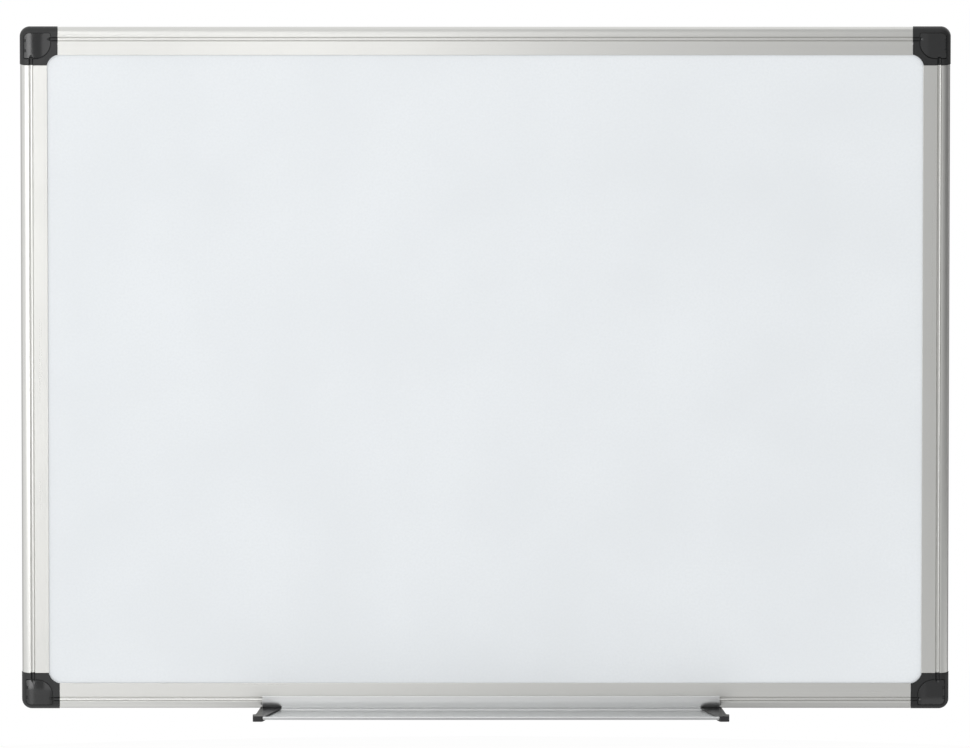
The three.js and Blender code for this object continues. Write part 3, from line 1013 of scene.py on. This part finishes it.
    def cap(self) -> bpy.types.Object:
        """The whole cap in a corner's own axes.

        Returns:
            The cap.
        """
        cap = self.blank("cap")
        end = self.arm + OVERRUN
        behind = Pen("behind", end, self.panel_line - end).line(end, end)
        behind.line(self.panel_line - end, end)
        carve(cap, behind.solid(-OVERRUN, self.plate_back), Carve.CUT)
        recess = self.cover_outline("recess", self.gap, self.recess_corner, self.arc_gap)
        carve(cap, recess.solid(self.ledge_height, self.front + OVERRUN), Carve.CUT)
        carve(cap, self.pocket(), Carve.CUT)
        start, middle = self.far + self.gap / 2, self.groove_middle
        grooves = (
            (Vector((start, middle, self.front)), Vector((end, middle, self.front))),
            (Vector((middle, start, self.front)), Vector((middle, end, self.front))),
        )
        for first, last in grooves:
            carve(cap, rod(first, last, self.groove, 36), Carve.CUT)
        trough = block(
            (self.side_margin - self.gap, self.hinge_across + self.trough_inside),
            (self.top_margin + self.cover_corner / 2, self.far + self.gap),
            (self.hinge_height - self.trough_depth, self.front + OVERRUN),
        )
        carve(cap, trough, Carve.CUT)
        for low in self.knuckle_starts():
            high = low + self.knuckle
            post = block(
                (self.hinge_across - self.barrel, self.hinge_across + self.barrel),
                (low, high),
                (self.hinge_height - self.trough_depth - SEAT, self.hinge_height),
            )
            carve(post, self.along_hinge(low, high, self.barrel, 24), Carve.JOIN)
            carve(post, self.along_hinge(low - 1, high + 1, self.pin_hole, 16), Carve.CUT)
            carve(cap, post, Carve.JOIN)
        across, down = self.screw_middle()
        top = self.pocket_floor + self.boss_height
        slope = (self.countersink - self.hole) / self.countersink_depth
        wide = self.countersink + SEAT * slope
        for low, high, radius, sides, end_radius, how in (
            (self.pocket_floor / 2, top, self.boss, 40, None, Carve.JOIN),
            (-1, top + 1, self.hole, 32, None, Carve.CUT),
            (top - self.countersink_depth, top + SEAT, self.hole, 32, wide, Carve.CUT),
        ):
            first, last = Vector((across, down, low)), Vector((across, down, high))
            carve(cap, rod(first, last, radius, sides, end_radius), how)
        carve(cap, self.tongue_solid(), Carve.JOIN)
        other = self.tongue_solid()
        other.data.transform(axes(Y, X, Z))
        face_out(other)
        carve(cap, other, Carve.JOIN)
        face_out(cap, self.cap_merge)
        return cap

    def screw_middle(self) -> tuple[float, float]:
        """Middle of the hole for the wall screw, in from the side and the top or bottom edge."""
        return ((self.pocket_near + self.far - self.ledge) / 2, self.hinge_middle)

    def along_hinge(self, low: float, high: float, radius: float, sides: int) -> bpy.types.Object:
        """A rod along the hinge's axis.

        Args:
            low: where it starts, in millimetres.
            high: where it ends.
            radius: its radius.
            sides: how many sides it has.

        Returns:
            The rod.
        """
        x, z = self.hinge_across, self.hinge_height
        return rod(Vector((x, low, z)), Vector((x, high, z)), radius, sides)

    def cover(self) -> bpy.types.Object:
        """The hinged cover: the cap's own front in the cover's outline, on a barrel with pins.

        Returns:
            The cover, in a corner's own axes.
        """
        cover = self.blank("cover")
        plate = self.cover_outline("plate", 0, self.cover_corner)
        carve(cover, plate.solid(self.cover_under, self.front + OVERRUN), Carve.KEEP)
        carve(cover, self.dome(), Carve.KEEP)
        middle, start = self.groove_middle, self.far + self.gap
        end, rise = start - self.run_out, self.front + self.groove
        for first, last in (
            (Vector((start, middle, self.front)), Vector((end, middle, rise))),
            (Vector((middle, start, self.front)), Vector((middle, end, rise))),
        ):
            carve(cover, rod(first, last, self.groove, 48), Carve.CUT)
        for low in self.knuckle_starts():
            high = low + self.knuckle
            relief = self.along_hinge(low - SEAT, high + SEAT, self.barrel + SEAT, 28)
            carve(cover, relief, Carve.CUT)
        half = self.barrel_length / 2
        low, high = self.hinge_middle - half, self.hinge_middle + half
        carve(cover, self.along_hinge(low, high, self.barrel, 24), Carve.JOIN)
        reach = self.pin_length + SEAT
        carve(cover, self.along_hinge(low - reach, high + reach, self.pin, 16), Carve.JOIN)
        far = self.far - self.ledge - self.gap
        first = self.top_margin + self.ledge + self.tab_inset
        tab = block(
            (far - self.tab_wall, far),
            (first, first + self.tab_length),
            (self.cover_under - self.tab_drop, self.cover_under + SEAT),
        )
        carve(cover, tab, Carve.JOIN)
        face_out(cover, self.cover_merge)
        break_edges(cover, self.cover_edge, clamp=False)
        return cover

    def dome(self) -> bpy.types.Object:
        """The shallow crown that the cover's front is moulded to.

        Returns:
            The tool, its top at the cover's middle.
        """
        middle = (self.side_margin + self.far) / 2
        pen = Pen("dome", 0, self.front)
        pen.arc(0, self.front - self.crown, self.crown, 90, self.crown_low, 16)
        pen.line(pen.at[0], self.ledge_height - OVERRUN).line(0, self.ledge_height - OVERRUN)
        tool = pen.turned(72)
        tool.data.transform(Matrix.Rotation(math.pi / 2, 4, "X"))
        tool.data.transform(Matrix.Translation(Vector((middle, middle, 0)) * MM))
        face_out(tool)
        return tool

    def rear_screw(self) -> bpy.types.Object:
        """A pan-head screw with a cross recess, along Y with its head at the low end.

        Returns:
            The screw, turned to stand along a corner's Z.
        """
        first, *others = self.screw_outline
        pen = Pen("rear_screw", *first)
        for spot in others:
            pen.line(*spot)
        screw = pen.turned(28)
        screw.data.transform(Matrix.Rotation(math.pi / 2, 4, "X"))
        face_out(screw)
        for x, y in (self.screw_slot, self.screw_slot[::-1]):
            carve(screw, block((-x, x), (-y, y), self.screw_slot_height), Carve.CUT)
        return screw

    def build(self) -> None:
        """Models one corner, and puts its pieces in all four with their finishes."""
        cap, cover, screw = self.cap(), self.cover(), self.rear_screw()
        black, half_gloss, zinc = CAP_ABS.material(), COVER_ABS.material(), ZINC.material()
        for corner in Corner:
            label, place = corner.label, corner.place()
            piece = twin(cap, f"cap_{label}", place)
            smooth(piece)
            fit(piece, f"corner_cap_{label}", "board", black)
            piece = twin(cover, f"cover_{label}", place)
            smooth(piece)
            fit(piece, f"screw_cover_{label}", f"cover_{label}", half_gloss)
            along, across = self.arm + self.screw_set, self.screw_across
            for way, x, y in (("across", along, across), ("upright", across, along)):
                moved = place @ Matrix.Translation(Vector((x, y, self.screw_seat)) * MM)
                piece = twin(screw, f"rear_screw_{label}_{way}", moved)
                soften(piece, self.screw_edge)
                fit(piece, f"corner_screw_{label}_{way}", "board", zinc)
        for shape in (cap, cover, screw):
            bpy.data.objects.remove(shape)


@dataclass
class WritingPanel:
    """The bonded panel. Its three layers are plain sheets, so the frame's own solids stay."""

    layers: dict[str, Speckled] = field(
        default_factory=lambda: {
            "face_sheet": MELAMINE,
            "core_board": FIBREBOARD,
            "backing_sheet": BACKING,
        }
    )

    def build(self) -> None:
        """Gives each layer its finish."""
        for node, finish in self.layers.items():
            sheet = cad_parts[node]
            sheet.data.materials.clear()
            sheet.data.materials.append(finish.material())
            log.info("%s keeps its solid", node)


@dataclass
class PenTray:
    """The pen tray and its two moulded ends.

    The section's first size runs out from the wall and its second up from the board's edge.
    """

    length: float = 593.0
    offset: float = 7.5
    reach: float = 72.0
    floor_top: float = -0.3
    under: float = -1.9
    lip_top: float = 2.5
    lip: float = 2.2
    lip_round: float = 1.0
    lip_tuck: float = 2.06
    lip_waist: float = 2.26
    lip_turn: float = 326.0
    fillet: float = 1.2
    leg_back: float = 6.5
    step_front: float = 20.0
    step_top: float = 0.5
    bead_out: float = 6.0
    bead_up: float = 11.0
    inner: float = 11.3
    outer: float = 12.8
    inner_low: float = -50.0
    outer_low: float = -43.0
    hook: float = 1.6
    hook_out: float = 16.2
    hook_up: float = 13.9
    flange_back: float = 17.3
    flange_top: float = 18.3
    flange_ease: float = 1.6
    end_wall: float = 1.3
    end_gap: float = 0.05
    end_low: float = -3.6
    end_high: float = 3.7
    web_back: float = 15.5
    web_top: float = 2.9
    web_rise: float = 0.0173
    block_out: float = 12.0
    block_in: float = 1.0
    block_round: float = 2.0
    block_back: float = 62.6
    block_front: float = 74.0
    flare: float = 6.3
    web: tuple[Span, ...] = ((-2.4, 69.0), (-10.0, 50.0), (-25.0, 17.0))
    web_steps: int = 16
    rail_depth: float = 17.0
    broken_edge: float = 0.25
    end_edge: float = 0.3

    def section(self, name: str, start: float, end: float, grow: float = 0.0) -> bpy.types.Object:
        """Draws the tray's section and pulls it along X.

        Args:
            name: the solid's name.
            start: where it starts along X, from the tray's middle, in millimetres.
            end: where it ends.
            grow: how far the section grows on every side.

        Returns:
            The solid.
        """
        top, under, reach = self.floor_top + grow, self.under - grow, self.reach + grow
        lip_top, lip_inner = self.lip_top + grow, self.reach - self.lip - grow
        inner, outer, small = self.inner - grow, self.outer + grow, self.lip_round
        hook, crest, back = self.hook + grow, self.flange_top + grow, self.flange_back - grow
        pen = Pen(name, self.leg_back - grow, top).line(self.leg_back - grow, under)
        pen.arc(reach - self.lip_tuck, under + small, small, 270, self.lip_turn, 4)
        pen.line(reach, under + self.lip_waist)
        pen.arc(reach - small, lip_top - small, small, 0, 90, 5)
        pen.arc(lip_inner + small, lip_top - small, small, 90, 180, 5)
        pen.arc(lip_inner - self.fillet, top + self.fillet, self.fillet, 360, 270, 5)
        pen.line(self.step_front + grow, top).line(self.step_front + grow, self.step_top + grow)
        pen.arc(self.bead_out, self.bead_up, outer, self.outer_low, 0, 12)
        pen.arc(self.bead_out + outer - small, crest - small, small, 0, 90, 5)
        pen.line(back, crest - self.flange_ease).line(back, self.hook_up + hook)
        pen.arc(self.hook_out, self.hook_up, hook, 90, 270, 12)
        pen.line(back, self.hook_up - hook)
        pen.arc(self.bead_out, self.bead_up, inner, 0, self.inner_low, 12)
        pen.line(pen.at[0], top)
        solid = pen.solid(start, end)
        solid.data.transform(axes(-Y, Z, X))
        face_out(solid)
        return solid

    def end(self) -> bpy.types.Object:
        """The right-hand end: a clip over the floor and the lip, with a web in the tray's corner.

        Returns:
            The end, measured from the tray's own end face.
        """
        round_, out = self.block_round, self.block_out
        pen = Pen("tray_end", SEAT + self.end_wall, self.rail_depth)
        pen.line(SEAT + self.end_wall + self.flare, self.block_back - round_)
        pen.line(out, self.block_back)
        pen.arc(out - round_, self.block_front - round_, round_, 0, 90, 6)
        pen.arc(round_ - self.block_in, self.block_front - round_, round_, 90, 180, 6)
        first, bend, last = (Vector(spot) for spot in self.web)
        for step in range(self.web_steps + 1):
            share = step / self.web_steps
            spot = first * (1 - share) ** 2 + bend * 2 * share * (1 - share) + last * share**2
            pen.line(spot.x, spot.y)
        pen.line(last.x, self.web_back).line(-self.end_gap, self.web_back)
        pen.line(-self.end_gap, self.rail_depth)
        piece = pen.solid(self.end_low, self.end_high)
        piece.data.transform(axes(X, -Y, Z))
        face_out(piece)
        inside = last.x - OVERRUN
        carve(piece, self.section("slot", inside, SEAT, self.end_gap), Carve.CUT)
        above = block(
            (inside, -self.block_in),
            (-self.block_front - OVERRUN, OVERRUN),
            (self.web_top, self.end_high + OVERRUN),
        )
        above.data.transform(axes(X, Y + self.web_rise * Z, Z))
        carve(piece, above, Carve.CUT)
        return piece

    def build(self) -> None:
        """Puts the tray and its two ends in place with their finishes."""
        half = self.length / 2
        place = Matrix.Translation(Vector((self.offset, 0, -HALF_HEIGHT)) * MM)
        shape = self.section("tray_section", -half, half)
        tray = twin(shape, "pen_tray", place)
        bpy.data.objects.remove(shape)
        soften(tray, self.broken_edge)
        metal = TRAY_ALUMINIUM.material(Grain.ALONG_X)
        fit(tray, "tray_channel", "tray", metal)
        black = TRAY_ABS.material()
        shape = self.end()
        for side, name in ((1, "right"), (-1, "left")):
            turn = Matrix.Diagonal((side, 1, 1, 1))
            moved = place @ Matrix.Translation((side * half * MM, 0, 0)) @ turn
            piece = twin(shape, f"pen_tray_{name}_end", moved)
            soften(piece, self.end_edge)
            fit(piece, f"tray_end_{name}", "tray", black)
        bpy.data.objects.remove(shape)


# The studio.


def seen(tree: bpy.types.NodeTree, *rays: str) -> bpy.types.NodeSocket:
    """Tells some kinds of ray from the others.

    Args:
        tree: a material's or the world's node tree.
        rays: the kinds, as the outputs of Light Path name them.

    Returns:
        1 for those rays, and 0 for the rest.
    """
    path = add_node(tree, "ShaderNodeLightPath")
    found = path.outputs[rays[0]]
    for ray in rays[1:]:
        links = {0: found, 1: path.outputs[ray]}
        found = add_node(tree, "ShaderNodeMath", {"operation": "MAXIMUM"}, links).outputs[0]
    return found


@dataclass(frozen=True)
class Sheet:
    """A flat rectangle that faces a spot. Its level is the brightness of its own face."""

    name: str
    place: Place
    aim: Place
    width: float
    height: float
    level: float

    def facing(self, axis: str) -> Euler:
        """The turn that makes one of the sheet's axes face the spot."""
        ray = Vector(self.aim) - Vector(self.place)
        return ray.to_track_quat(axis, "Y").to_euler()


class SoftBox(Sheet):
    """A large plain lamp for the matt surfaces, out of the camera's and the gloss's sight."""

    def build(self) -> None:
        """Hangs the lamp."""
        lamp = bpy.data.lights.new(self.name, "AREA")
        lamp.shape = "RECTANGLE"
        lamp.size, lamp.size_y = self.width, self.height
        lamp.energy = self.level * math.pi * self.width * self.height
        obj = bpy.data.objects.new(self.name, lamp)
        bpy.context.scene.collection.objects.link(obj)
        obj.location, obj.rotation_euler = self.place, self.facing("-Z")
        obj.visible_camera = obj.visible_glossy = False


class Card(Sheet):
    """A photographer's card: gloss shows it in place of the white room, and matt surfaces don't.

    The room's level is 1: above it the card is a reflector, and below it a shade.
    """

    def build(self) -> None:
        """Stands the card up, out of the camera's sight."""
        bpy.ops.object.select_all(action="DESELECT")
        bpy.ops.mesh.primitive_plane_add(
            size=1, location=self.place, rotation=self.facing("Z")
        )
        card = bpy.context.object
        card.name = self.name
        card.scale = (self.width, self.height, 1)
        # The card's face is an emission at its level, not lit paper: above the room's level it is
        # a reflector's light, below it a shade, and only reflections show it.
        material, tree, output = fresh(f"{self.name}, matt paper")
        paper = add_node(tree, "ShaderNodeEmission", {"Strength": self.level})
        tree.links.new(paper.outputs[0], output.inputs["Surface"])
        card.data.materials.append(material)
        card.visible_camera = card.visible_diffuse = card.visible_shadow = False


# Where the cards in front of the board stand and end, and where the level cards lie.
CARD_FRONT = -1.6
CARD_TOP = 3.5
LEVEL_MIDDLE = -0.6
LEVEL_DEPTH = 2.1


def front_card(name: str, left: float, right: float, low: float, level: float) -> Card:
    """A tall card that stands in front of the board and faces it.

    Args:
        name: the card's name.
        left: its left edge, in metres.
        right: its right edge.
        low: its lower edge.
        level: its brightness.

    Returns:
        The card.
    """
    middle, height = (left + right) / 2, (low + CARD_TOP) / 2
    place, aim = (middle, CARD_FRONT, height), (middle, 0.0, height)
    return Card(name, place, aim, right - left, CARD_TOP - low, level)


def level_card(name: str, left: float, right: float, height: float, level: float) -> Card:
    """A card that lies level, above the board or below it.

    Args:
        name: the card's name.
        left: its left edge, in metres.
        right: its right edge.
        height: its height.
        level: its brightness.

    Returns:
        The card.
    """
    middle = (left + right) / 2
    place, aim = (middle, LEVEL_MIDDLE, height), (middle, LEVEL_MIDDLE, 0.0)
    return Card(name, place, aim, right - left, LEVEL_DEPTH, level)


@dataclass
class Studio:
    """A white room with reflectors at the left, shades at the right and one soft lamp."""

    pitch: float = 12.0
    lens: float = 1000.0
    sensor: float = 36.0
    picture_width: int = 970
    pixel_mm: float = 1.2937
    aim: Place = (-0.0003, 0.0, -0.0090)
    floor_height: float = -1.35
    floor_radius: float = 3.8
    floor_glow: float = 0.8
    ambient: float = 0.937
    room: float = 1.0
    lamps: tuple[SoftBox, ...] = (
        SoftBox("window", (-1.45, -1.7, 0.55), (-1.45, 0.0, 0.55), 2.9, 2.3, 0.06),
    )
    cards: tuple[Card, ...] = (
        front_card("far_left_card", -2.6, -0.9, -0.65, 2.0),
        front_card("strip_card", -0.9, -0.78, -0.65, 4.3),
        front_card("shade_card", -0.78, -0.47, -0.65, 0.58),
        Card("low_strip_card", (-0.84, -1.6, -0.97), (-0.84, 0.0, -0.97), 0.12, 0.64, 1.7),
        front_card("left_card", -0.47, -0.005, -0.68, 1.5),
        front_card("middle_card", -0.005, 0.45, -0.97, 0.77),
        front_card("right_card", 0.45, 1.3, -0.95, 0.61),
        front_card("far_right_card", 1.3, 3.1, -0.95, 0.42),
        level_card("ceiling_card", 0.0, 3.0, 2.7, 0.62),
        level_card("low_middle_card", -0.3, 0.33, -1.3, 0.42),
        level_card("low_right_card", 0.33, 3.0, -1.3, 0.64),
        Card("tray_shade_card", (0.0, -1.58, -1.0), (0.0, 0.0, -1.0), 0.6, 0.56, 0.62),
        Card("side_card", (2.6, -0.4, 1.4), (0.0, -0.4, 1.4), 2.4, 4.3, 0.25),
        Card("rear_left_card", (-0.95, 0.45, -0.45), (-0.95, 0.0, -0.45), 1.3, 1.8, 0.6),
        Card("rear_card", (0.6, 0.45, -0.45), (0.6, 0.0, -0.45), 1.8, 1.8, 0.3),
    )

    def world(self) -> None:
        """White where the board is looked past, and an even light on the board."""
        world = bpy.data.worlds.new("studio")
        bpy.context.scene.world = world
        world.use_nodes = True
        tree = world.node_tree
        tree.nodes.clear()
        output = add_node(tree, "ShaderNodeOutputWorld")
        past = seen(tree, "Is Camera Ray", "Is Glossy Ray", "Is Transmission Ray")
        levels = {2: self.ambient, 3: self.room}
        level = add_node(tree, "ShaderNodeMix", levels, {0: past})
        back = add_node(
            tree,
            "ShaderNodeBackground",
            {"Color": (1, 1, 1, 1)},
            {"Strength": level.outputs[0]},
        )
        tree.links.new(back.outputs[0], output.inputs["Surface"])

    def floor(self) -> None:
        """A plain pale floor, kept white by its own light, that takes the board's shadow."""
        bpy.ops.object.select_all(action="DESELECT")
        bpy.ops.mesh.primitive_circle_add(
            vertices=96,
            radius=self.floor_radius,
            fill_type="NGON",
            location=(0, 0, self.floor_height),
        )
        floor = bpy.context.object
        floor.name = "floor"
        material, tree, output = fresh("pale matt floor")
        matt = add_node(tree, "ShaderNodeBsdfDiffuse", {"Color": linear("#FCFCFC")})
        glow = add_node(tree, "ShaderNodeEmission", {"Color": (1, 1, 1, 1), "Strength": 1.0})
        share = add_node(
            tree,
            "ShaderNodeMath",
            {"operation": "MULTIPLY", 1: self.floor_glow},
            {0: seen(tree, "Is Camera Ray", "Is Glossy Ray")},
        )
        links = {0: share.outputs[0], 1: matt.outputs[0], 2: glow.outputs[0]}
        both = add_node(tree, "ShaderNodeMixShader", {}, links)
        tree.links.new(both.outputs[0], output.inputs["Surface"])
        floor.data.materials.append(material)

    def camera(self) -> None:
        """A long lens a little above the board's middle."""
        data = bpy.data.cameras.new("camera")
        data.lens = self.lens
        data.sensor_width = self.sensor
        distance = self.picture_width * self.pixel_mm * MM * self.lens / self.sensor
        data.clip_start = 1.0
        data.clip_end = 4 * distance
        obj = bpy.data.objects.new("camera", data)
        bpy.context.scene.collection.objects.link(obj)
        tilt = math.radians(self.pitch)
        back = Vector((0, -math.cos(tilt), math.sin(tilt)))
        obj.location = Vector(self.aim) + back * distance
        obj.rotation_euler = (-back).to_track_quat("-Z", "Y").to_euler()
        bpy.context.scene.camera = obj

    def build(self) -> None:
        """Makes the world, the floor, the lamps, the cards and the camera."""
        bpy.context.scene.view_settings.view_transform = "Standard"
        self.world()
        self.floor()
        for light in self.lamps + self.cards:
            light.build()
        self.camera()


def main() -> None:
    """Builds the board's looks in order, and then the studio round it."""
    logging.basicConfig(level=logging.INFO, format="%(name)s: %(message)s")
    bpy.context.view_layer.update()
    for assembly in (Rails(), CornerCaps(), WritingPanel(), PenTray(), Studio()):
        assembly.build()
        log.info("%s done", type(assembly).__name__)


if __name__ == "__main__":
    main()
